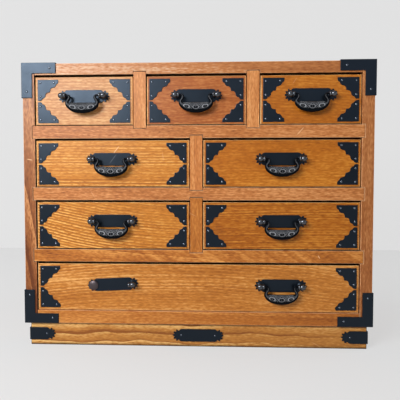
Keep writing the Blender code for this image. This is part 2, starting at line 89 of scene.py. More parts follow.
class Sock:
    """A node socket. Arithmetic on it adds Math nodes to its tree."""

    def __init__(self, tree, socket=None):
        self.tree = tree
        self.socket = socket

    def node(self, kind, settings=None, sockets=None, output=0):
        """Any other node: its settings first, then the values or links of its sockets."""
        node = self.tree.nodes.new("ShaderNode" + kind)
        for name, value in (settings or {}).items():
            setattr(node, name, value)
        for name, value in (sockets or {}).items():
            self.feed(node.inputs[name], value)
        return Sock(self.tree, node.outputs[output])

    def feed(self, target, value):
        """Links a socket, or sets a plain value."""
        if isinstance(value, Sock):
            self.tree.links.new(value.socket, target)
        else:
            target.default_value = value

    def math(self, operation, *values, clamp=False):
        settings = {"operation": operation, "use_clamp": clamp}
        return self.node("Math", settings, dict(enumerate(values)))

    def __add__(self, other):
        return self.math("ADD", self, other)

    def __radd__(self, other):
        return self.math("ADD", other, self)

    def __sub__(self, other):
        return self.math("SUBTRACT", self, other)

    def __rsub__(self, other):
        return self.math("SUBTRACT", other, self)

    def __mul__(self, other):
        return self.math("MULTIPLY", self, other)

    def __truediv__(self, other):
        return self.math("DIVIDE", self, other)

    def __pow__(self, other):
        return self.math("POWER", self, other)

    def clamped(self):
        return self.math("ADD", self, 0, clamp=True)

    def mix(self, low, high):
        """A colour between low and high, by this value."""
        return self.node("Mix", {"data_type": "RGBA"}, {0: self, 6: low, 7: high}, 2)

    def stretched(self, scale, shift=(0, 0, 0)):
        """This vector times a scale, plus a shift."""
        sockets = {0: self, 1: scale, 2: shift}
        return self.node("VectorMath", {"operation": "MULTIPLY_ADD"}, sockets)

    def noise(self, scale, shift=(0, 0, 0), detail=2, rough=0.5):
        """Soft noise from 0 to 1 on this vector, with one scale per axis."""
        place = self.stretched(scale, shift)
        sockets = {"Vector": place, "Scale": 1, "Detail": detail, "Roughness": rough}
        return self.node("TexNoise", None, sockets)

    def parts(self):
        """The three numbers of this vector."""
        first = self.node("SeparateXYZ", None, {0: self})
        return [Sock(self.tree, output) for output in first.socket.node.outputs]

    def size(self):
        """This number without its sign."""
        return self.math("ABSOLUTE", self)


def new_finish(name):
    """An empty material: its shader and the object's own coordinates."""
    finish = bpy.data.materials.new(name)
    finish.use_nodes = True
    tree = finish.node_tree
    shader = tree.nodes["Principled BSDF"]
    place = Sock(tree).node("TexCoord", output="Object")
    return finish, shader, place


def opaque(colour):
    return (*colour, 1)


RELIEF_DEPTH = 0.0003


def lay_finish(place, shader, colour, roughness, sheen, height, strength, depth=RELIEF_DEPTH):
    """Feeds a finish's colour, roughness and sheen to its shader, and its height as fine relief."""
    place.feed(shader.inputs["Base Color"], colour)
    place.feed(shader.inputs["Roughness"], roughness)
    place.feed(shader.inputs["Specular IOR Level"], sheen)
    relief = place.node("Bump", None, {"Strength": strength, "Distance": depth, "Height": height})
    place.feed(shader.inputs["Normal"], relief)


# Wood

# For each direction of the grain: the axis along it, across the face and into the board
WOOD_AXES = {"X": (0, 2, 1), "Y": (1, 0, 2), "Z": (2, 0, 1)}

# Noise in wood, as waves in a metre along the grain and across it
QUIVER_WAVES = (24, 90)
BROAD_WAVES = (3.5, 24)
DASH_WAVES = (140, 480)
SWAY_ACROSS = 14
FIBRE_ACROSS = 300
FLAME_ACROSS = 11

# Steps between the seeds of boards, along the grain and across it
SEED_ALONG = 1.7
SEED_ACROSS = 3.1

WOOD_ROUGHNESS = 0.39
LEAST_FIGURE = 0.35
PORE_STRENGTH = 0.45
SCUFF_STRENGTH = 0.8
PAINTED_SHADOW_STRENGTH = 0.92
WOOD_RELIEF = 0.3


def wood_finish(
    name, grain, tones, centre, seed, ring, heart, figure, slant=0.0, bow=0.0, wander=0.016, waves=3.2,
    waver=0.001, lines=1.3, fade=0.0, lift=0.0, texture=1.0, streaks=22, cloud=1.0, ripple=0.3,
    flame=(0.6, 42), sheen=0.27, hidden=None, shaded_heights=(), marks=(),
):
    """Sawn hardwood: rings round a heart beside or behind the board, pores along the grain.

    grain is the axis of the fibres and tones the plain, pale and dark colours.
    heart is the offset of the tree's heart across the face and into the board, and ring a year's width.
    slant is the run of the fibres across the face for each metre along it, and bow its change.
    wander is the size of the long waves in the rings, waves their number in a metre, waver the small ones.
    figure is the strength of the rings, lines that of their dark ends, and fade its change for each metre.
    lift is how much paler the tone gets for each metre along the board.
    texture is the strength of the fine fibres, streaks their number in a metre, cloud the broad bands.
    ripple is the strength of the bands across the grain, flame their lean and their number in a metre.
    hidden gives the axis and direction of faces inside the openings, black near the front with painted shade;
    direction 0 is both. shaded_heights gives the heights near which a painted shadow darkens the board. Each
    of
    marks is a long scratch on the front: the x and z of its middle, its angle and its length.
    """
    finish, shader, place = new_finish(name)
    plain, pale, dark = tones
    along, across, inward = WOOD_AXES[grain]
    shift = [0, 0, 0]
    shift[across] = SEED_ACROSS * seed
    shift[along] = SEED_ALONG * seed

    def scaled(lengthwise, crosswise):
        scale = [crosswise] * 3
        scale[along] = lengthwise
        return scale

    axes = place.parts()
    run = axes[along] - centre[along]
    sway = place.noise(scaled(waves, SWAY_ACROSS), shift) - 0.5
    quiver = place.noise(scaled(*QUIVER_WAVES), shift) - 0.5
    broad = place.noise(scaled(*BROAD_WAVES), shift) - 0.5
    u = axes[across] - (centre[across] + heart[0]) + run * (run * bow + slant) + sway * wander
    u = u + quiver * waver
    v = axes[inward] - (centre[inward] + heart[1])
    count = (u * u + v * v) ** 0.5 / ring
    phase = count.math("FRACT", count)
    year = count.math("FLOOR", count)
    strength = year.node("TexWhiteNoise", {"noise_dimensions": "1D"}, {"W": year + seed})
    dash = place.noise(scaled(*DASH_WAVES), shift, 1) - 0.5
    fibre = place.noise(scaled(streaks, FIBRE_ACROSS), shift, 3, 0.65) - 0.5
    tilted = place.node("CombineXYZ", None, {
        0: (run + axes[across] * flame[0]) * flame[1] + seed,
        1: axes[across] * FLAME_ACROSS,
        2: axes[inward] * FLAME_ACROSS,
    })
    band = tilted.noise((1, 1, 1)) - 0.5

    clear = place.math("MAXIMUM", figure + run * fade, LEAST_FIGURE * figure)
    clear = clear * (0.2 + strength * strength * 1.2)
    broken = (0.85 + dash * 2.4).clamped()
    late = phase ** 5 * clear
    early = (1 - phase) ** 4 * clear * broken
    tone = early * 1.5 - late * lines + (fibre * 1.3 + dash * 1.6) * texture + broad * cloud
    tone = tone + band * ripple + run * lift - 0.06 * figure
    colour = tone.clamped().mix(opaque(plain), opaque(pale))
    colour = (0 - tone).clamped().mix(colour, opaque(dark))
    pores = ((0 - dash) * 6 - 0.9).clamped() * (1 - phase)
    colour = (pores * PORE_STRENGTH).mix(colour, opaque([c * 0.6 for c in dark]))
    scratch = scratches(place, seed) * SCUFF_STRENGTH
    for mark in marks:
        scratch = scratch + long_scratch(axes, *mark)
    colour = scratch.mix(colour, opaque(SCUFF))
    # Painted shade: faces inside the openings turn black near the front, fading further in
    if hidden:
        axis, direction = hidden
        lean = leaning(place, axis, direction)
        deep = 1 - (axes[1] - FRONT_PLANE) / PAINTED_SHADE_DEPTH
        gap_shade = (lean * 3 - 2).clamped() * deep.clamped()
        colour = gap_shade.mix(colour, opaque(PAINTED_SHADE))
    # Painted shadow: the board darkens near each given height
    for level in shaded_heights:
        painted_shadow = (1.1 - (axes[2] - level).size() / PAINTED_SHADOW_REACH + fibre).clamped() * PAINTED_SHADOW_STRENGTH
        colour = painted_shadow.mix(colour, opaque(PAINTED_SHADE))
    roughness = WOOD_ROUGHNESS + fibre * 0.25 + pores * 0.12 + scratch * 0.2
    height = fibre * 0.7 - late * 0.3 - pores - scratch
    lay_finish(place, shader, colour, roughness, sheen, height, WOOD_RELIEF)
    return finish


def leaning(place, axis, direction):
    """How far a face looks along an axis, in one direction or, where that is 0, in both."""
    lean = place.node("NewGeometry", output="Normal").parts()[axis]
    return lean * direction if direction else lean.size()


SCRATCH_CELLS = (22, 22, 22)
SCRATCH_WIDTH = 0.0007


def scratches(place, seed):
    """Short pale scratches, each at its own angle, one in a few cells of about 45 mm."""
    cells = place.stretched(SCRATCH_CELLS, (seed * 0.37, seed * 0.73, seed * 0.19))
    spot = {"Vector": cells, "Scale": 1}
    chance = cells.node("SeparateColor", None, {0: cells.node("TexVoronoi", None, spot, "Color")}, 0)
    hub = cells.node("TexVoronoi", None, spot, "Position")
    away = cells.node("VectorMath", {"operation": "SUBTRACT"}, {0: cells, 1: hub})
    turned = cells.node("VectorRotate", {"rotation_type": "Y_AXIS"}, {"Vector": away, "Angle": chance * 40})
    x, y, z = turned.parts()
    ends = (1 - (x * x + y * y) ** 0.5 * 5).clamped()
    thin = (1 - z.size() * 75).clamped()
    return thin * ends * (chance * 8 - 4).clamped()


def long_scratch(axes, x, z, angle, length):
    """One thin pale scratch across a front, fading out at its ends."""
    right = math.cos(math.radians(angle))
    rise = math.sin(math.radians(angle))
    along = (axes[0] - x) * right + (axes[2] - z) * rise
    off = (axes[2] - z) * right - (axes[0] - x) * rise
    thin = (1.3 - off.size() / SCRATCH_WIDTH).clamped()
    return thin * (2 - along.size() * 4 / length).clamped() * 0.8


WORN_SHEEN = 0.4
WORN_PATCHES = (45, 45, 45)
WORN_NICKS = (420, 420, 420)


def worn_finish(name, worn, kept, dirt_and_shade=()):
    """An arris rubbed down to pale wood, with the old finish left in patches.

    dirt_and_shade gives the axis, the direction and the colour of each darkened side, black for painted shade
    and dark brown at joints; direction 0 is both.
    """
    finish, shader, place = new_finish(name)
    patch = place.noise(WORN_PATCHES, (0.2, 0.5, 0.1), 3, 0.6)
    nick = place.noise(WORN_NICKS, (0.7, 0.4, 0.3))
    left = ((patch - 0.48) * 5 + (nick - 0.5) * 1.5).clamped()
    colour = left.mix(opaque(worn), opaque(kept))
    # Each given side darkens: black painted shade on arris faces turned from the light, dark brown at joints
    for axis, direction, dirt_and_shade_colour in dirt_and_shade:
        colour = (leaning(place, axis, direction) * 4 - 1).clamped().mix(colour, opaque(dirt_and_shade_colour))
    lay_finish(place, shader, colour, 0.42 + nick * 0.2, WORN_SHEEN, nick, WOOD_RELIEF)
    return finish


EDGE_DARK = (0.13, 0.048, 0.014)
EDGE_PALE = (0.24, 0.095, 0.030)
EDGE_SHEEN = 0.1
EDGE_RELIEF = 0.2


def edge_finish(name):
    """The edges of a board inside an opening: black with painted shade at the front, brown wood further in.
    """
    finish, shader, place = new_finish(name)
    depth = place.parts()[1] - FRONT_PLANE
    stain = place.noise((160, 40, 160), (0.4, 0.1, 0.6), 3, 0.6)
    unshaded = (depth / EDGE_SHADE_DEPTH - 1 + (stain - 0.5)).clamped()
    bare = stain.mix(opaque(EDGE_DARK), opaque(EDGE_PALE))
    colour = unshaded.mix(opaque(PAINTED_SHADE), bare)
    lay_finish(place, shader, colour, 0.5 + stain * 0.3, EDGE_SHEEN, stain, EDGE_RELIEF)
    return finish


# Iron

IRON_PATCHES = (55, 55, 55)
IRON_RELIEF_DEPTH = 0.0004
IRON_TINT = (0.58, 0.76, 1)
POLISH_ROUGHNESS = 0.12
BARE_SCRATCH = (0.16, 0.16, 0.17)


def iron_finish(
    name, base, worn, roughness, metallic, grain_size,
    rubbed=False, gloss=0.5, dent=0.2, polish=0.0, mark=None,
):
    """Black lacquered iron: uneven sheen, a faint brown bloom, and bare metal on rubbed relief.

    rubbed takes the bare places from the mesh's own rub_and_highlight value, which holds worn carving, partly
    a painted highlight, and painted highlight lines. mark is one long scratch, given as for wood.
    """
    finish, shader, place = new_finish(name)
    patch = place.noise(IRON_PATCHES, (0.3, 0.1, 0.7), 4, 0.6)
    speck = place.noise((grain_size, grain_size, grain_size), (0.9, 0.2, 0.4))
    bloom = ((patch - 0.55) * 3).clamped()
    brown = (base[0] * 1.8, base[1] * 1.35, base[2] * 1.1)
    colour = (bloom * 0.6).mix(opaque(base), opaque(brown))
    if rubbed:
        rub_and_highlight = place.node("Attribute", {"attribute_name": "rub_and_highlight"}, None, "Fac")
        bare = (rub_and_highlight * (0.5 + speck)).clamped()
    else:
        bare = ((speck - 0.64) * 5).clamped() * bloom * 0.5
    if mark:
        bare = bare + long_scratch(place.parts(), *mark) * 0.45
        worn = BARE_SCRATCH
    colour = bare.mix(colour, opaque(worn))
    roughness = roughness + (patch - 0.5) * 0.15
    height = patch * 0.6 + speck * 0.4
    lay_finish(place, shader, colour, roughness, gloss, height, dent, IRON_RELIEF_DEPTH)
    shader.inputs["Metallic"].default_value = metallic
    shader.inputs["Specular Tint"].default_value = opaque(IRON_TINT)
    shader.inputs["Coat Weight"].default_value = polish
    shader.inputs["Coat Roughness"].default_value = POLISH_ROUGHNESS
    return finish


SEEN_RAYS = ("Is Camera Ray", "Is Glossy Ray", "Is Transmission Ray")


def seen_rays(tree):
    """1 for the rays that show the background: the camera's own, and those by way of metal or glass."""
    camera, shiny, through = [Sock(tree).node("LightPath", output=rays) for rays in SEEN_RAYS]
    return (camera + shiny + through).clamped()


def room_finish(name, grey, own_light):
    """A pale painted surface of the room, faintly uneven. own_light evens out how it is seen."""
    finish, shader, place = new_finish(name)
    cloud = place.noise((2.5, 2.5, 2.5), detail=3)
    colour = cloud.mix(opaque([grey] * 3), opaque([grey * 0.97] * 3))
    place.feed(shader.inputs["Base Color"], colour)
    shader.inputs["Roughness"].default_value = 0.8
    shader.inputs["Specular IOR Level"].default_value = 0.1
    glow = place.node("Emission", None, {"Color": opaque([ROOM_SEEN] * 3), "Strength": 1})
    seen = seen_rays(place.tree) * own_light
    mixed = place.node("MixShader", None, {0: seen, 1: Sock(place.tree, shader.outputs[0]), 2: glow})
    place.feed(finish.node_tree.nodes["Material Output"].inputs["Surface"], mixed)
    return finish


# Meshes

def finished_mesh(name, bm, finishes, turn=None):
    """A mesh with its finishes, smooth shaded where a turn for its sharp edges is given."""
    bmesh.ops.recalc_face_normals(bm, faces=bm.faces)
    mesh = bpy.data.meshes.new(name)
    bm.to_mesh(mesh)
    bm.free()
    for finish in finishes:
        mesh.materials.append(finish)
    if turn:
        mesh.shade_smooth()
        mesh.set_sharp_from_angle(angle=math.radians(turn))
    return mesh


def add_piece(name, bm, finishes, body, replaces=(), turn=None):
    """Turns a mesh in the part's frame into a piece that rides a body."""
    place_piece(name, finished_mesh(name, bm, finishes, turn), body, replaces)


def place_piece(name, mesh, body, replaces=(), location=(0, 0, 0), tilt=0.0):
    """Puts a mesh at a location, tilted about Y, as a piece that rides a body."""
    obj = bpy.data.objects.new(name, mesh)
    obj.location = location
    obj.rotation_euler.y = tilt
    bpy.context.scene.collection.objects.link(obj)
    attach(obj, body)
    if replaces:
        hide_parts(*replaces)


def add_rings(bm, rings, finish_of=None):
    """Skins rings of points and closes both ends; finish_of gives the material by band and side."""
    rows = [[bm.verts.new(point) for point in ring] for ring in rings]
    for band, (a, b) in enumerate(zip(rows, rows[1:])):
        for i in range(len(a)):
            j = (i + 1) % len(a)
            face = bm.faces.new((a[i], a[j], b[j], b[i]))
            if finish_of:
                face.material_index = finish_of(band, i)
    bm.faces.new(rows[0])
    bm.faces.new(rows[-1])
    return rows


def add_plate(bm, outline, front, back, edge):
    """A flat plate facing -Y with a softened front edge. The outline is in x and z."""
    verts = [bm.verts.new((x, back, z)) for x, z in outline]
    face = bm.faces.new(verts)
    made = bmesh.ops.extrude_face_region(bm, geom=[face])["geom"]
    top = [v for v in made if isinstance(v, bmesh.types.BMVert)]
    bmesh.ops.translate(bm, vec=(0, front - back, 0), verts=top)
    rim = [e for e in made if isinstance(e, bmesh.types.BMEdge)]
    bmesh.ops.bevel(
        bm, geom=rim, offset=edge, segments=2, profile=0.6, affect="EDGES", clamp_overlap=True,
    )


def add_lathe(bm, profile, matrix, sides, finish=0):
    """Turns (distance along local Z, radius) pairs round local Z; the matrix puts it in place."""
    rows = []
    for along, radius in profile:
        if radius == 0:
            rows.append([bm.verts.new(matrix @ Vector((0, 0, along)))])
            continue
        ring = []
        for k in range(sides):
            turn = 2 * math.pi * k / sides
            spot = Vector((radius * math.cos(turn), radius * math.sin(turn), along))
            ring.append(bm.verts.new(matrix @ spot))
        rows.append(ring)
    for a, b in zip(rows, rows[1:]):
        for k in range(sides):
            n = (k + 1) % sides
            if len(a) == 1:
                face = bm.faces.new((a[0], b[n], b[k]))
            elif len(b) == 1:
                face = bm.faces.new((a[k], a[n], b[0]))
            else:
                face = bm.faces.new((a[k], a[n], b[n], b[k]))
            face.material_index = finish


def facing(place, direction):
    """Matrix that puts local Z along a direction at a place."""
    return Matrix.Translation(place) @ Vector(direction).to_track_quat("Z", "Y").to_matrix().to_4x4()


def add_nail(bm, place, direction, radius=NAIL_RADIUS, height=NAIL_HEIGHT):
    """A domed nail head standing on a plate."""
    profile = [(-NAIL_SINK, 0), (-NAIL_SINK, radius)]
    steps = 5
    for step in range(steps):
        turn = math.pi / 2 * step / steps
        profile.append((height * math.sin(turn), radius * math.cos(turn)))
    profile.append((height, 0))
    add_lathe(bm, profile, facing(place, direction), NAIL_SIDES)


def curve(start, control, end, steps):
    """Points of a bend from start to end, pulled towards the control point; start is left out."""
    points = []
    for i in range(1, steps + 1):
        t = i / steps
        weights = ((1 - t) ** 2, 2 * t * (1 - t), t * t)
        ends = list(zip(weights, (start, control, end)))
        points.append(tuple(sum(weight * point[k] for weight, point in ends) for k in (0, 1)))
    return points


# Finishes

CASE_TONES = ((0.46, 0.158, 0.040), (0.72, 0.335, 0.125), (0.22, 0.059, 0.012))
DEEP_TONES = ((0.43, 0.135, 0.019), (0.68, 0.290, 0.068), (0.21, 0.052, 0.007))
UMBER_TONES = ((0.29, 0.094, 0.024), (0.53, 0.225, 0.080), (0.13, 0.033, 0.007))
RUST_TONES = ((0.34, 0.110, 0.028), (0.60, 0.260, 0.090), (0.15, 0.038, 0.008))
# SAND_TONES: its pale tone leans to blue, a painted sheen of the window on the top board
SAND_TONES = ((0.46, 0.170, 0.048), (0.66, 0.450, 0.275), (0.24, 0.066, 0.014))
TAWNY_TONES = ((0.52, 0.176, 0.042), (0.74, 0.345, 0.120), (0.28, 0.080, 0.016))
# HONEY_TONES: paler and bluer than GOLD_TONES, a painted sheen of the window on the top left front
HONEY_TONES = ((0.49, 0.200, 0.062), (0.76, 0.460, 0.190), (0.32, 0.110, 0.030))
PALE_TONES = ((0.56, 0.210, 0.058), (0.78, 0.400, 0.160), (0.32, 0.098, 0.022))
DUSK_TONES = ((0.385, 0.110, 0.006), (0.600, 0.240, 0.031), (0.225, 0.054, 0.003))
FRONT_TONES = ((0.43, 0.126, 0.007), (0.66, 0.270, 0.035), (0.25, 0.062, 0.003))
GOLD_TONES = ((0.54, 0.192, 0.021), (0.82, 0.440, 0.115), (0.33, 0.096, 0.009))
RED_TONES = ((0.36, 0.098, 0.017), (0.58, 0.235, 0.070), (0.20, 0.045, 0.007))
AMBER_TONES = ((0.51, 0.182, 0.026), (0.78, 0.395, 0.120), (0.30, 0.086, 0.009))
STRAW_TONES = ((0.49, 0.200, 0.039), (0.75, 0.425, 0.140), (0.26, 0.082, 0.014))
INNER_TONES = ((0.55, 0.38, 0.22), (0.66, 0.49, 0.31), (0.40, 0.25, 0.13))
# Black of the painted shade in the gaps and of the painted shadows along the plinth
PAINTED_SHADE = (0.004, 0.002, 0.001)
JOINT_DIRT = (0.110, 0.042, 0.014)
# Depths over which the painted shade fades into an opening, on hidden edges and on inner faces, and the reach
# of the painted shadows on the plinth
EDGE_SHADE_DEPTH = 0.005
PAINTED_SHADE_DEPTH = 0.020
PAINTED_SHADOW_REACH = 0.0040
FRONT_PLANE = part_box("upper_rail")[0].y
SCUFF = (0.80, 0.50, 0.26)
ROOM_SEEN = 0.85
WORLD_SEEN = 0.38
WORLD_LIGHT = 0.14

# Hidden edges: black painted shade at the front of an opening, bare wood further in
shaded_edge = edge_finish("hidden edge with painted shade")
WORN_CASE = ((0.66, 0.33, 0.15), (0.40, 0.135, 0.042))
worn_case = worn_finish("worn case arris", *WORN_CASE)
# Worn arrises over a gap and on the fronts are black with painted shade on their faces turned down, those
# beside a gap on their faces turned right, away from the window; over and beside a gap they are also dark at
# joints
worn_head = worn_finish("worn arris over a gap with painted shade below", *WORN_CASE, ((2, -1, PAINTED_SHADE), (0, 0, JOINT_DIRT)))
worn_post = worn_finish("worn arris beside a gap with painted shade on its right", *WORN_CASE, ((0, 1, PAINTED_SHADE), (2, 0, JOINT_DIRT)))
WORN_FRONT = ((0.74, 0.41, 0.16), (0.45, 0.160, 0.032))
worn_front = worn_finish("worn front arris with painted shade below", *WORN_FRONT, ((2, -1, PAINTED_SHADE),))
bare_front = worn_finish("worn arris of the bottom front", *WORN_FRONT)
worn_inner = worn_finish("worn inner arris", (0.66, 0.50, 0.32), (0.50, 0.34, 0.19))
PLATE_IRON = ((0.0018, 0.0027, 0.0045), (0.040, 0.045, 0.055), 0.33, 0.0, 900)
PLATE_SURFACE = {"gloss": 0.38, "dent": 0.05}
plate_iron = iron_finish("black plate iron", *PLATE_IRON, **PLATE_SURFACE)
scratched_iron = iron_finish(
    "scratched plate iron", *PLATE_IRON, **PLATE_SURFACE, mark=(0.0013, 0.0005, 53, 0.020),
)
post_iron = iron_finish(
    "bright post iron", (0.095, 0.100, 0.110), (0.17, 0.175, 0.18), 0.09, 1.0, 1200, dent=0.02,
)
# The bails' bare colour: worn metal on the carving, lightened as a painted highlight, and a painted highlight
# line along the arms
cast_iron = iron_finish(
    "rubbed cast iron with painted highlights", (0.0015, 0.0020, 0.0030), (0.335, 0.340, 0.360), 0.30, 0.0, 1400,
    rubbed=True, gloss=0.04, dent=0.05, polish=0.06,
)
nail_iron = iron_finish("nail iron", (0.13, 0.15, 0.18), (0.24, 0.26, 0.28), 0.18, 1.0, 1500, dent=0.05)
stud_iron = iron_finish("bare stud iron", (0.085, 0.068, 0.070), (0.20, 0.18, 0.18), 0.40, 0.9, 1300)


# Case boards

CASE_ARRIS = 0.0007
INNER_ARRIS = 0.0005
IRON_ARRIS = 0.00055
TOOTH_ARRIS = 0.0003
ARRIS_ANGLE = math.radians(40)
WELD_REACH = 0.00002


def middle(node):
    """Middle of a CAD node's box."""
    low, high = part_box(node)
    return (low + high) / 2


def dress_node(node, finish, edge, worn=None):
    """Gives a CAD node its finish and rounds its arrises, the rounding taking a second finish where one is
    given: worn wood on most boards, black painted shade on the plinth.
    """
    obj = frame["nodes"][node]
    obj.data.materials.clear()
    obj.data.materials.append(finish)
    weld = obj.modifiers.new("Weld", "WELD")
    weld.merge_threshold = WELD_REACH
    bevel = obj.modifiers.new("Arris", "BEVEL")
    bevel.width = edge
    bevel.segments = 3
    bevel.limit_method = "ANGLE"
    bevel.angle_limit = ARRIS_ANGLE
    if worn:
        obj.data.materials.append(worn)
        bevel.material = 1


# Each case board: grain axis, heart across and into the board, slant, ring width, figure, tones
CASE_BOARDS = {
    "left_side": ("Z", (0.05, 0.12), 0.16, 0.0046, 1.00, UMBER_TONES),
    "right_side": ("Z", (-0.04, 0.09), -0.05, 0.0040, 0.35, RUST_TONES),
    "top_board": ("X", (0.02, 0.06), 0.03, 0.0060, 0.50, SAND_TONES),
    "bottom_board": ("X", (-0.05, 0.10), 0.01, 0.0045, 0.30, DEEP_TONES),
    "upper_rail": ("X", (0.07, 0.09), 0.03, 0.0042, 0.35, CASE_TONES),
    "middle_rail": ("X", (-0.06, 0.05), -0.02, 0.0040, 0.40, CASE_TONES),
    "lower_rail": ("X", (0.02, 0.04), 0.09, 0.0065, 0.50, DEEP_TONES),
    "top_left_partition": ("Z", (0.06, 0.10), 0.04, 0.0040, 0.30, PALE_TONES),
    "top_right_partition": ("Z", (-0.06, 0.10), -0.03, 0.0040, 0.30, PALE_TONES),
    "second_partition": ("Z", (0.05, 0.10), 0.02, 0.0040, 0.30, TAWNY_TONES),
    "third_partition": ("Z", (0.06, 0.12), 0.03, 0.0040, 0.30, DEEP_TONES),
    "plinth_front": ("X", (0.034, 0.020), 0.010, 0.0110, 0.80, STRAW_TONES),
    "plinth_back": ("X", (0.010, 0.040), 0.020, 0.0060, 0.60, CASE_TONES),
    "plinth_left": ("Y", (0.030, 0.020), 0.020, 0.0060, 0.60, CASE_TONES),
    "plinth_right": ("Y", (-0.030, 0.020), 0.020, 0.0060, 0.60, CASE_TONES),
}

# What single boards have of their own
BOARD_TRAITS = {
    "left_side": {
        "hidden": (0, 1), "lines": 2.2, "waver": 0.0006, "lift": 3.0,
        "marks": ((-0.2654, 0.2994, -10, 0.010),),
    },
    "right_side": {"lift": 1.2},
    # The top board grows paler towards the left: a painted sheen of the window light
    "top_board": {"hidden": (2, -1), "lift": -1.6},
    "bottom_board": {"lines": 1.8, "lift": -2.0},
    "upper_rail": {"hidden": (2, 0), "texture": 1.15, "marks": ((0.1615, 0.3425, 48, 0.018),)},
    "middle_rail": {"hidden": (2, 0), "texture": 1.35},
    "lower_rail": {
        "hidden": (2, 0), "texture": 1.25, "ripple": 2.2, "flame": (1.5, 85),
        "marks": ((0.1920, 0.1465, -60, 0.007),),
    },
    **{row + "_partition": {"hidden": (0, 1)} for row in ("top_left", "top_right", "second", "third")},
    "plinth_front": {
        # The plinth front darkens at the floor and at its top, under the bottom board: painted shadows
        "shaded_heights": (0, 0.037), "waves": 11, "wander": 0.022, "waver": 0.0005, "lines": 2.0, "fade": -2.4,
        "texture": 0.8, "cloud": 1.4, "lift": -0.5,
    },
}
HEADS = ("top_board", "upper_rail", "middle_rail", "lower_rail")
INNER_BOARDS = ("back_panel", "upper_dust_board", "middle_dust_board", "lower_dust_board")
INNER_RING = 0.007
INNER_FIGURE = 0.6
INNER_SHEEN = 0.25

# First seeds of the inner boards, the drawer fronts and the trays; the case boards begin at 1
INNER_SEED = 31
FRONT_SEED = 51
TRAY_SEED = 71


def dress_inner(node, grain, seed, heart):
    """Plain pale wood for what lies inside."""
    finish = wood_finish(
        "plain inner wood, " + node.replace("_", " "), grain, INNER_TONES, middle(node), seed,
        ring=INNER_RING, heart=heart, figure=INNER_FIGURE, sheen=INNER_SHEEN,
    )
    dress_node(node, finish, INNER_ARRIS, worn_inner)


def dress_case():
    """The boards of the case and the plinth, and what lies behind the drawers."""
    for seed, (node, (grain, heart, slant, ring, figure, tones)) in enumerate(CASE_BOARDS.items()):
        finish = wood_finish(
            "oiled case wood, " + node.replace("_", " "), grain, tones, middle(node), seed + 1,
            ring=ring, heart=heart, slant=slant, figure=figure, **BOARD_TRAITS.get(node, {}),
        )
        arris = worn_case
        if node.startswith("plinth"):
            # The plinth's arrises take the hidden edges' black painted shade, at the floor and under the
            # bottom board
            arris = shaded_edge
        elif node in HEADS:
            arris = worn_head
        elif node == "left_side" or node.endswith("_partition"):
            arris = worn_post
        dress_node(node, finish, CASE_ARRIS, arris)
    for seed, node in enumerate(INNER_BOARDS):
        dress_inner(node, "X", seed + INNER_SEED, (0.03, 0.05))


# Drawers

# Each drawer front: tones, ring width, heart, slant, figure
FRONT_BOARDS = {
    # The top left front's paler, bluer tones paint the window's sheen
    "top_left": (HONEY_TONES, 0.0042, (0.16, 0.05), 0.010, 0.45),
    "top_middle": (RED_TONES, 0.0040, (0.05, 0.05), -0.060, 0.35),
    "top_right": (FRONT_TONES, 0.0040, (-0.12, 0.06), 0.080, 0.35),
    "second_left": (GOLD_TONES, 0.0038, (-0.10, 0.05), 0.004, 0.70),
    "second_right": (FRONT_TONES, 0.0040, (0.18, 0.06), -0.030, 0.30),
    "third_left": (GOLD_TONES, 0.0044, (-0.160, 0.020), 0.150, 1.30),
    "third_right": (DUSK_TONES, 0.0036, (0.14, 0.05), -0.020, 0.80),
    "bottom": (AMBER_TONES, 0.0042, (0.14, 0.05), 0.020, 0.70),
}

# What single fronts have of their own
FRONT_TRAITS = {
    "top_left": {"wander": 0.006, "waver": 0.0004, "lines": 2.0, "streaks": 8, "texture": 0.8},
    "top_middle": {"wander": 0.020, "texture": 0.8},
    "top_right": {"texture": 0.8, "cloud": 1.2},
    "second_left": {
        "wander": 0.006, "waver": 0.0004, "lines": 2.2, "streaks": 7, "texture": 0.8,
        "marks": ((-0.1265, 0.3145, 52, 0.016),),
    },
    "second_right": {"wander": 0.012, "streaks": 32, "cloud": 1.8, "lift": 1.8},
    "third_left": {
        "wander": 0.010, "streaks": 10, "waver": 0.0002, "bow": -0.5, "fade": -7.0, "lines": 3.0,
        "lift": -1.2,
    },
    "third_right": {"wander": 0.010, "lines": 1.9, "texture": 1.2, "cloud": 1.6, "lift": 1.5},
    "bottom": {
        "wander": 0.014, "waver": 0.0005, "lines": 1.8, "bow": 0.25, "fade": -1.4, "streaks": 7, "cloud": 3.0,
        "lift": 0.2,
    },
}

# Arris of a front, as inset and depth from its face
SIDE_ARRIS = ((0.0017, 0), (0.0010, 0.0003), (0.0004, 0.0008), (0.0001, 0.0014), (0, 0.0020))
TOP_ARRIS_SHARE = 0.45
WORN_BANDS = 2
LOWER_SIDE, RIGHT_SIDE = 0, 1


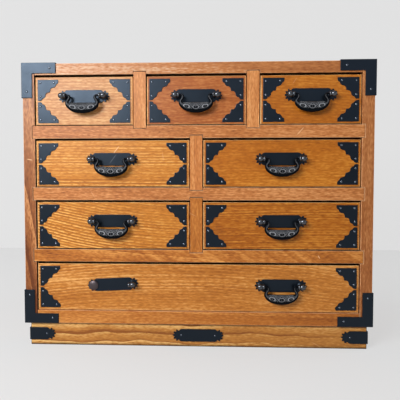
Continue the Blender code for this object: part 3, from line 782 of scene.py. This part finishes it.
def front_board(name, seed):
    """The board of a drawer front, its arrises rounded and worn pale."""
    low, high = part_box(name + "_front")
    face = low.y + CORNER_PLATE_THICKNESS
    unshaded = (LOWER_SIDE, RIGHT_SIDE) if name == "bottom" else (RIGHT_SIDE,)
    bm = bmesh.new()

    def ring(side, bottom, top, y):
        left, right = low.x + side, high.x - side
        floor, head = low.z + bottom, high.z - top
        return [(left, y, floor), (right, y, floor), (right, y, head), (left, y, head)]

    rings = [ring(inset, inset, inset * TOP_ARRIS_SHARE, face + deep) for inset, deep in SIDE_ARRIS]
    rings.append(ring(0, 0, 0, face + FRONT_LIP))
    rings.append(ring(TONGUE_SIDE, TONGUE_LOW, TONGUE_HIGH, face + FRONT_LIP))
    rings.append(ring(TONGUE_SIDE, TONGUE_LOW, TONGUE_HIGH, high.y))
    # Edges inside the opening take the hidden edges' painted shade, but for the right side and the bottom
    # drawer's lower side
    add_rings(bm, rings, lambda band, side: 1 if band < WORN_BANDS or side in unshaded else 2)
    tones, years, heart, slant, figure = FRONT_BOARDS[name]
    finish = wood_finish(
        "oiled front wood, " + name.replace("_", " "), "X", tones, (low + high) / 2, seed,
        ring=years, heart=heart, slant=slant, figure=figure, **FRONT_TRAITS[name],
    )
    arris = bare_front if name == "bottom" else worn_front
    add_piece(
        name + "_drawer_front", bm, [finish, arris, shaded_edge],
        name + "_drawer", [name + "_front"],
    )
    return low, high, face


def corner_plate_outline(leg):
    """Outline from the plate's square corner, legs along +u and +v.

    Each leg ends in a small lobe, then a larger lobe and a bite lead to the point in the middle.
    """
    half = [(0.985, 0), (1, 0.015), (1, 0.09)]
    half += curve((1, 0.09), (1, 0.19), (0.905, 0.218), 6)
    half += curve((0.90, 0.222), (0.87, 0.36), (0.74, 0.378), 8)
    half += curve((0.74, 0.378), (0.60, 0.385), (0.598, 0.585), 8)
    outline = [(0, 0)] + half + [(v, u) for u, v in reversed(half)]
    return [(leg * u, leg * v) for u, v in outline]


CORNER_PLATE_ARRIS = 0.0004

# Places of a corner plate's nails, in shares of its leg
CORNER_NAILS = ((0.135, 0.150), (0.800, 0.145), (0.130, 0.800))


def corner_plates(name, low, high, face):
    """The four scalloped plates of a drawer front, with their nails."""
    plates = bmesh.new()
    nails = bmesh.new()
    leg = (high.z - low.z) / 2 - CORNER_PLATE_MARGIN - CORNER_PLATE_GAP / 2
    outline = corner_plate_outline(leg)
    front = face - CORNER_PLATE_THICKNESS
    for side, edge_x in ((1, low.x), (-1, high.x)):
        for end, edge_z in ((1, low.z), (-1, high.z)):
            corner_x = edge_x + side * CORNER_PLATE_MARGIN
            corner_z = edge_z + end * CORNER_PLATE_MARGIN
            points = [(corner_x + side * u, corner_z + end * v) for u, v in outline]
            add_plate(plates, points, front, face, CORNER_PLATE_ARRIS)
            for u, v in CORNER_NAILS:
                place = (corner_x + side * u * leg, front, corner_z + end * v * leg)
                add_nail(nails, place, (0, -1, 0))
    body = name + "_drawer"
    add_piece(name + "_corner_plates", plates, [plate_iron], body, turn=PLATE_TURN)
    add_piece(name + "_corner_nails", nails, [nail_iron], body, turn=DOME_TURN)


def dress_drawers():
    """Fronts with their corner plates, and trays."""
    for seed, name in enumerate(FRONT_BOARDS):
        low, high, face = front_board(name, seed + FRONT_SEED)
        corner_plates(name, low, high, face)
        dress_inner(name + "_tray", "Y", seed + TRAY_SEED, (0.04, 0.06))


# Handles

PLATE_HALF_HEIGHT = 0.010
FAN_CENTRE = 0.0310
FAN_RADIUS = 0.0097
FAN_VALLEY = 0.0070
FAN_TEETH = 5
FAN_SPREAD = math.radians(138)

# Turn and radius of the three points of a blunt tooth
TOOTH_POINTS = ((0.08, FAN_RADIUS * 0.985), (0, FAN_RADIUS), (-0.08, FAN_RADIUS * 0.985))

# The plate's upper edge at one end: a rounded shoulder, then the notch beside the fan
SHOULDER_POINTS = (
    (0.0268, PLATE_HALF_HEIGHT), (0.0292, 0.0090),
    (FAN_CENTRE - 0.0004, 0.0072), (FAN_CENTRE + 0.0010, 0.0074),
)


def fan_points():
    """The teeth of one serrated end, from the upper one to the lower one."""
    points = []
    step = FAN_SPREAD / (FAN_TEETH - 1)
    for tooth in range(FAN_TEETH):
        angle = FAN_SPREAD * (0.5 - tooth / (FAN_TEETH - 1))
        for offset, radius in TOOTH_POINTS:
            turn = angle + offset
            points.append((FAN_CENTRE + radius * math.cos(turn), radius * math.sin(turn)))
        if tooth < FAN_TEETH - 1:
            turn = angle - step / 2
            points.append((FAN_CENTRE + FAN_VALLEY * math.cos(turn), FAN_VALLEY * math.sin(turn)))
    return points


def fan_end():
    """The right end of a plate: rounded shoulders and the serrated fan between them."""
    upper = list(SHOULDER_POINTS)
    return upper + fan_points() + [(x, -z) for x, z in reversed(upper)]


def plate_outline():
    """A plate with a fan at both ends."""
    return fan_end() + [(-x, z) for x, z in reversed(fan_end())]


def arc(centre, radius_along, radius_out, floor, angles):
    """Points (along, radius) of an arc of a turned profile, the angles in degrees."""
    points = []
    for angle in angles:
        turn = math.radians(angle)
        points.append((centre + radius_along * math.cos(turn), floor + radius_out * math.sin(turn)))
    return points


# Knuckle of a post, along the pivot line from its own middle. Each arc gives its centre, its half length,
# its height and the radius that it stands on.
KNUCKLE_END = -0.0058
KNUCKLE_END_RADIUS = 0.0028
COLLAR_ARC = (-0.0040, 0.0018, 0.0014, 0.0026)
GROOVE = (-0.0021, 0.0026)
BALL_ARC = (0.0013, 0.0052, 0.0046, 0)
BALL_TIP = 0.0065
KNUCKLE_SIDES = 32


def post_profile():
    """The knuckle from its inner end out: a collar ring, a groove and a ball."""
    profile = [(KNUCKLE_END, 0), (KNUCKLE_END, KNUCKLE_END_RADIUS)]
    profile += arc(*COLLAR_ARC, range(150, 0, -20))
    profile.append(GROOVE)
    profile += arc(*BALL_ARC, range(130, 5, -12))
    profile.append((BALL_TIP, 0))
    return profile


# Foot of a post, as distance from the plate and radius
FOOT_SIDES = 24
FOOT_PROFILE = (
    (-0.0002, 0), (-0.0002, 0.0058), (0.0006, 0.0057), (0.0012, 0.0048), (0.0017, 0.0046),
    (0.0024, 0.0036), (0.0045, 0.0030), (0.0080, 0.0028), (0.0080, 0),
)


def handle_plate_mesh(signs, iron=plate_iron):
    """A handle plate with its posts, round the middle of the pivot line."""
    bm = bmesh.new()
    back = PIVOT_STANDOFF - SEAT_GAP
    front = back - PLATE_THICKNESS
    add_plate(bm, plate_outline(), front, back, TOOTH_ARRIS)
    for sign in signs:
        add_lathe(bm, FOOT_PROFILE, facing((sign * POST_X, front, 0), (0, -1, 0)), FOOT_SIDES)
        add_lathe(bm, post_profile(), facing((sign * POST_X, 0, 0), (sign, 0, 0)), KNUCKLE_SIDES, 1)
    return finished_mesh("handle_plate", bm, (iron, post_iron), PLATE_TURN)


# Bail
BAIL_DROP = 0.0199
BAIL_HALF_SPAN = 0.0238
BAIL_WAIST = 0.0110
BAIL_NECK = 0.0202
SHOULDER_RADIUS = 0.0028
BELLY_HALF_HEIGHT = 0.00805
BELLY_HALF_DEPTH = 0.0034
ARM_RADIUS = 0.0022
ARM_EXTRA_HEIGHT = 0.0006
PIN_RADIUS = 0.0016
PIN_REACH = 0.0285
BELLY_STEPS = 54
ARM_STEPS = 12
SHOULDER_STEPS = 10
BAIL_SIDES = 64
BELLY_SWELL = 1.3
ARM_PULL = 0.4


def bail_stations():
    """Middle line of a bail's right half with its half height and half depth, from the belly to the pin."""
    stations = []
    arm = ARM_RADIUS + ARM_EXTRA_HEIGHT
    for i in range(BELLY_STEPS + 1):
        turn = math.pi / 2 * i / BELLY_STEPS
        x = BAIL_HALF_SPAN * math.sin(turn)
        z = -BAIL_WAIST - (BAIL_DROP - BAIL_WAIST) * math.cos(turn)
        share = max(math.cos(turn), 0) ** BELLY_SWELL
        high = arm + (BELLY_HALF_HEIGHT - arm) * share
        deep = ARM_RADIUS + (BELLY_HALF_DEPTH - ARM_RADIUS) * share
        stations.append((x, z, high, deep))
    start = Vector((BAIL_HALF_SPAN, -BAIL_WAIST))
    end = Vector((BAIL_NECK, -SHOULDER_RADIUS))
    pull = Vector((0, ARM_PULL * (BAIL_WAIST - SHOULDER_RADIUS)))
    for i in range(1, ARM_STEPS):
        t = i / ARM_STEPS
        spot = (1 - t) ** 3 * start + 3 * t * (1 - t) ** 2 * (start + pull)
        spot += 3 * t * t * (1 - t) * (end - pull) + t ** 3 * end
        stations.append((spot.x, spot.y, ARM_RADIUS + ARM_EXTRA_HEIGHT * (1 - t), ARM_RADIUS))
    for i in range(SHOULDER_STEPS + 1):
        turn = math.pi / 2 * i / SHOULDER_STEPS
        x = BAIL_NECK + SHOULDER_RADIUS * (1 - math.cos(turn))
        z = SHOULDER_RADIUS * (math.sin(turn) - 1)
        size = ARM_RADIUS + (PIN_RADIUS - ARM_RADIUS) * i / SHOULDER_STEPS
        stations.append((x, z, size, size))
    stations.append((PIN_REACH, 0, PIN_RADIUS, PIN_RADIUS))
    return stations


def hump(x):
    """A soft bump, 1 at 0 and 0 from 1 on."""
    return max(0.0, 1 - x * x) ** 2


# Carving, in millimetres: the flower in the middle, a leaf at each side and the buds round them.
# A leaf's half height and its drop are shares of the belly's half height.
FLOWER_HALF = (5.2, 3.2)
FLOWER_LIFT = 0.4
LEAF_PLACE = 14.5
LEAF_HALF_LENGTH = 5.8
LEAF_SHARE = 0.48
LEAF_DROP = 0.02
BUD_TURN = 2.2
BUD_SHIFT = (0.5, 0.4)
GROUND_HEIGHT = 0.18
BUD_HEIGHT = 0.70

# Ridges: height, then place and half width as shares of the flower or leaf. Buds begin past the edges.
FLOWER_RING = (0.62, 0.88, 0.26)
FLOWER_EYE = (0.60, 0, 0.36)
FLOWER_EDGE = 1.12
LEAF_RIM = (0.66, 0.78, 0.34)
LEAF_RIB = (0.45, 0, 0.6)
LEAF_EDGE = 1.1

# Level on the belly where the plain underside ends, and how far above it the carving is whole
PLAIN_TO = -0.60
PLAIN_FADE = 0.35

# Carving ends, and the painted highlight lines along the arms begin and end, at these lengths from the middle
CARVED_HALF = 18
CARVED_FADE = 8
ARM_HIGHLIGHT_FROM = 23
ARM_HIGHLIGHT_TO = 34
ARM_HIGHLIGHT_FADE = 6
# Strength of the painted highlight line along each arm's crest
ARM_HIGHLIGHT = 0.24

# Relief from which the metal is rubbed bare and painted paler as a highlight, and how much more of it until
# that is whole
RUB_AND_HIGHLIGHT_FROM = 0.32
RUB_AND_HIGHLIGHT_SPAN = 0.32


def ridge(distance, height, place, half):
    """Height of a rounded ridge at a distance from the middle of a form."""
    return height * hump((distance - place) / half)


def carving(s, a, half):
    """Height of the carving at s along the belly from its middle and a across it, in millimetres.

    A flower in an oval ring lies between two leaves, on a ground of buds; the underside is plain.
    """
    s = abs(s)
    level = a / half
    flower = math.hypot(s / FLOWER_HALF[0], (a - FLOWER_LIFT) / FLOWER_HALF[1])
    leaf = math.hypot((s - LEAF_PLACE) / LEAF_HALF_LENGTH, (level + LEAF_DROP) / LEAF_SHARE)
    height = max(ridge(flower, *FLOWER_RING), ridge(flower, *FLOWER_EYE))
    height = max(height, ridge(leaf, *LEAF_RIM), ridge(leaf, *LEAF_RIB))
    if flower > FLOWER_EDGE and leaf > LEAF_EDGE:
        bud = math.sin(BUD_TURN * s + BUD_SHIFT[0]) * math.sin(BUD_TURN * a + BUD_SHIFT[1])
        height = GROUND_HEIGHT + BUD_HEIGHT * max(0, bud)
    return height * min(1, max(0, (level - PLAIN_TO) / PLAIN_FADE))


def bail_mesh():
    """A bail hanging from the pivot's middle, carved on its front."""
    half = bail_stations()
    path = [(-x, z, high, deep) for x, z, high, deep in reversed(half[1:])] + half
    lengths = [0.0]
    for a, b in zip(path, path[1:]):
        lengths.append(lengths[-1] + math.hypot(b[0] - a[0], b[1] - a[1]))
    belly = lengths[len(half) - 1]
    rings = []
    rub_and_highlight = []
    for i, (x, z, high, deep) in enumerate(path):
        before = path[max(i - 1, 0)]
        after = path[min(i + 1, len(path) - 1)]
        along = Vector((after[0] - before[0], after[1] - before[1])).normalized()
        if i in (0, len(path) - 1):
            along = Vector((1, 0))
        up = Vector((-along.y, along.x))
        s = (lengths[i] - belly) * 1000
        ring = []
        for k in range(BAIL_SIDES):
            turn = 2 * math.pi * k / BAIL_SIDES
            out = up * high * math.cos(turn)
            front = math.sin(turn)
            relief = 0.0
            crest = 0.0
            if front > 0.05:
                fade = min(1, front / 0.45) * hump(max(0, abs(s) - CARVED_HALF) / CARVED_FADE)
                relief = carving(s, high * 1000 * math.cos(turn), high * 1000) * fade
                # The value stored on each vertex holds the worn carving, partly a painted highlight, and a
                # painted highlight line along each arm's crest
                past = max(0, ARM_HIGHLIGHT_FROM - abs(s), abs(s) - ARM_HIGHLIGHT_TO)
                crest = ARM_HIGHLIGHT * hump(math.cos(turn) / 0.40) * hump(past / ARM_HIGHLIGHT_FADE)
            ring.append((x + out.x, -deep * front - relief / 1000, z + out.y))
            rub_and_highlight.append(max(crest, min(1, max(0, (relief - RUB_AND_HIGHLIGHT_FROM) / RUB_AND_HIGHLIGHT_SPAN))))
        rings.append(ring)
    bm = bmesh.new()
    layer = bm.verts.layers.float.new("rub_and_highlight")
    rows = add_rings(bm, rings)
    for vert, value in zip([v for row in rows for v in row], rub_and_highlight):
        vert[layer] = value
    return finished_mesh("bail", bm, (cast_iron,), ROUND_TURN)


STUD_RADIUS = 0.0080
STUD_DOME_RADIUS = 0.0079
STUD_DOME = 0.0026
STUD_RIM = 0.0004
STUD_SIDES = 32


def stud_mesh():
    """The domed stud in the place of a lost post."""
    bm = bmesh.new()
    profile = [(-STUD_RIM, 0), (-STUD_RIM, STUD_RADIUS), (STUD_RIM, STUD_RADIUS)]
    steps = 8
    for i in range(1, steps):
        turn = math.pi / 2 * i / steps
        profile.append((STUD_RIM + STUD_DOME * math.sin(turn), STUD_DOME_RADIUS * math.cos(turn)))
    profile.append((STUD_RIM + STUD_DOME, 0))
    seat = PIVOT_STANDOFF - SEAT_GAP - PLATE_THICKNESS
    add_lathe(bm, profile, facing((-POST_X, seat - SEAT_GAP, 0), (0, -1, 0)), STUD_SIDES)
    return finished_mesh("stud", bm, (stud_iron,), ROUND_TURN)


def dress_handles():
    """A plate and a bail at each hinge, and the plate without a bail."""
    whole = handle_plate_mesh((-1, 1))
    scratched = handle_plate_mesh((-1, 1), scratched_iron)
    bail = bail_mesh()
    for joint in frame["joints"]:
        if joint["type"] != "hinge":
            continue
        name = joint["child"][:-len("_bail")]
        pivot = joint["pos_m"]
        plate = scratched if name == "second_left" else whole
        place_piece(
            name + "_fine_handle_plate", plate, joint["parent"],
            [name + "_handle_plate"], pivot,
        )
        place_piece(name + "_fine_bail", bail, joint["child"], [name + "_bail"], pivot)
    right = next(joint["pos_m"] for joint in frame["joints"] if joint["child"] == "bottom_right_bail")
    left = (-right[0], right[1], right[2])
    place_piece(
        "bottom_left_fine_handle_plate", handle_plate_mesh((1,)), "bottom_drawer",
        ["bottom_left_handle_plate"], left, -LOOSE_PLATE_TILT,
    )
    place_piece(
        "bottom_left_fine_stud", stud_mesh(), "bottom_drawer",
        ["bottom_left_stud"], left, -LOOSE_PLATE_TILT,
    )


# Iron on the case

# Nails of a corner iron, from its corner: along an arm and across it
ARM_NAIL = 0.0455
ARM_MIDDLE = 0.0088

# Nails of the plinth's plates: the distance from the middle or the corner, then radius and height
PLINTH_NAIL = 0.0270
PLINTH_NAIL_SIZE = (0.0014, 0.0008)


def dress_plinth_iron(nails):
    """The plates on the plinth: one in its middle, and one folded round each front corner."""
    low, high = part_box("plinth_plate")
    x = (low.x + high.x) / 2
    z = (low.z + high.z) / 2
    plate = bmesh.new()
    add_plate(plate, [(x + u, z + v) for u, v in plate_outline()], low.y, high.y, TOOTH_ARRIS)
    place_plinth_plate("plinth_plate", plate)
    for sign in (-1, 1):
        add_nail(nails, (x + sign * PLINTH_NAIL, low.y, z), (0, -1, 0), *PLINTH_NAIL_SIZE)
    for side, inward in (("left", 1), ("right", -1)):
        node = f"plinth_{side}_wrap"
        low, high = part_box(node)
        outer = low.x if inward > 0 else high.x
        fold = outer + inward * PLATE_THICKNESS
        plate = bmesh.new()
        points = [(fold + inward * u, z + v) for u, v in strip_outline(-PLATE_THICKNESS)]
        add_plate(plate, points, low.y, low.y + PLATE_THICKNESS, TOOTH_ARRIS)
        done = set(plate.verts)
        add_plate(plate, strip_outline(0), 0, PLATE_THICKNESS, TOOTH_ARRIS)
        for vert in set(plate.verts) - done:
            u, depth, v = vert.co
            vert.co = (outer + inward * depth, low.y + PLATE_THICKNESS + u, z + v)
        place_plinth_plate(node, plate)
        reach = PLINTH_NAIL + PLATE_THICKNESS
        add_nail(nails, (outer + inward * reach, low.y, z), (0, -1, 0), *PLINTH_NAIL_SIZE)
        add_nail(nails, (outer, low.y + reach, z), (-inward, 0, 0), *PLINTH_NAIL_SIZE)


def strip_outline(start):
    """A strip that begins square at start and ends in a fan."""
    return [(start, PLATE_HALF_HEIGHT)] + fan_end() + [(start, -PLATE_HALF_HEIGHT)]


def place_plinth_plate(node, bm):
    add_piece("fine_" + node, bm, [plate_iron], "case", [node], PLATE_TURN)


def dress_case_iron():
    """The corner irons and the plinth's plates, with all their nails in one piece."""
    nails = bmesh.new()
    for level, up in (("top", -1), ("bottom", 1)):
        for side, inward in (("left", 1), ("right", -1)):
            node = f"{level}_{side}_corner_iron"
            dress_node(node, plate_iron, IRON_ARRIS)
            low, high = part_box(node)
            x = low.x if inward > 0 else high.x
            z = high.z if up < 0 else low.z
            y = low.y
            for u, v in ((ARM_NAIL, ARM_MIDDLE), (ARM_MIDDLE, ARM_NAIL)):
                add_nail(nails, (x + inward * u, y, z + up * v), (0, -1, 0))
                add_nail(nails, (x, y + u, z + up * v), (-inward, 0, 0))
                if level == "top":
                    add_nail(nails, (x + inward * u, y + v, z), (0, 0, 1))
    dress_plinth_iron(nails)
    add_piece("case_nails", nails, [nail_iron], "case", turn=DOME_TURN)


# Room, light and camera

WALL_Y = 0.90
WALL_HEIGHT = 3
ROOM_HALF = 4.0
FLOOR_GREY = 0.60
FLOOR_OWN_LIGHT = 0.65
WALL_GREY = 0.55
WALL_OWN_LIGHT = 0.8
WHITE = (1, 1, 1)

# Each lamp: its name, place, target, width and height, watts and colour
LAMPS = (
    ("window light", (-0.664, -1.15, 0.758), (0, -0.15, 0.22), (0.675, 0.475), 18, (0.98, 0.99, 1.0)),
    ("ceiling light", (-0.2, -0.5, 2.4), (0, 0.1, 0), (2.6, 2.6), 10, WHITE),
    ("sky light", (0.35, -1.60, 0.85), (0.10, -0.15, 0.40), (1.5, 0.5), 1.5, (0.66, 0.82, 1.0)),
    ("left side light", (-2.1, 0.35, 0.9), (0, 0.1, 0.2), (1.2, 1.2), 14, WHITE),
    ("right side light", (2.1, 0.35, 0.9), (0, 0.1, 0.2), (1.2, 1.2), 14, WHITE),
)

# Camera: its place, with its distance in front of the rails, its downward tilt and its turn to the left
CAMERA_X = 0.0347
CAMERA_DISTANCE = 0.70
CAMERA_HEIGHT = 0.2634
CAMERA_TILT = math.radians(2.28)
CAMERA_TURN = math.radians(2.35)
VIEW_ANGLE = math.radians(48.3)
SENSOR_WIDTH = 36


def add_plane(name, corners, finish):
    mesh = bpy.data.meshes.new(name)
    mesh.from_pydata(corners, [], [(0, 1, 2, 3)])
    mesh.materials.append(finish)
    obj = bpy.data.objects.new(name, mesh)
    bpy.context.scene.collection.objects.link(obj)


def add_lamp(name, place, target, size, power, colour):
    lamp = bpy.data.lights.new(name, "AREA")
    lamp.shape = "RECTANGLE"
    lamp.size, lamp.size_y = size
    lamp.energy = power
    lamp.color = colour
    obj = bpy.data.objects.new(name, lamp)
    obj.location = place
    obj.rotation_euler = (Vector(target) - Vector(place)).to_track_quat("-Z", "Y").to_euler()
    obj.visible_camera = False
    bpy.context.scene.collection.objects.link(obj)


def build_room():
    """A pale floor and wall, the lamps, and a dim world that shows paler than it lights."""
    floor = room_finish("pale floor", FLOOR_GREY, FLOOR_OWN_LIGHT)
    wall = room_finish("pale wall", WALL_GREY, WALL_OWN_LIGHT)
    near = [(-ROOM_HALF, -ROOM_HALF, 0), (ROOM_HALF, -ROOM_HALF, 0)]
    foot = [(-ROOM_HALF, WALL_Y, 0), (ROOM_HALF, WALL_Y, 0)]
    head = [(ROOM_HALF, WALL_Y, WALL_HEIGHT), (-ROOM_HALF, WALL_Y, WALL_HEIGHT)]
    add_plane("floor", near + foot[::-1], floor)
    add_plane("wall", foot + head, wall)
    for lamp in LAMPS:
        add_lamp(*lamp)
    world = bpy.data.worlds.new("room light")
    bpy.context.scene.world = world
    world.use_nodes = True
    back = world.node_tree.nodes["Background"]
    back.inputs["Color"].default_value = opaque(WHITE)
    seen = seen_rays(world.node_tree)
    seen.feed(back.inputs["Strength"], WORLD_LIGHT + seen * (WORLD_SEEN - WORLD_LIGHT))


def add_camera():
    front_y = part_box("upper_rail")[0].y
    camera = bpy.data.cameras.new("camera")
    camera.sensor_width = SENSOR_WIDTH
    camera.lens = SENSOR_WIDTH / 2 / math.tan(VIEW_ANGLE / 2)
    obj = bpy.data.objects.new("camera", camera)
    obj.location = (CAMERA_X, front_y - CAMERA_DISTANCE, CAMERA_HEIGHT)
    obj.rotation_euler = (math.pi / 2 - CAMERA_TILT, 0, CAMERA_TURN)
    bpy.context.scene.collection.objects.link(obj)
    bpy.context.scene.camera = obj


dress_case()
dress_drawers()
dress_handles()
dress_case_iron()
build_room()
add_camera()
bpy.context.scene.view_settings.view_transform = "Standard"
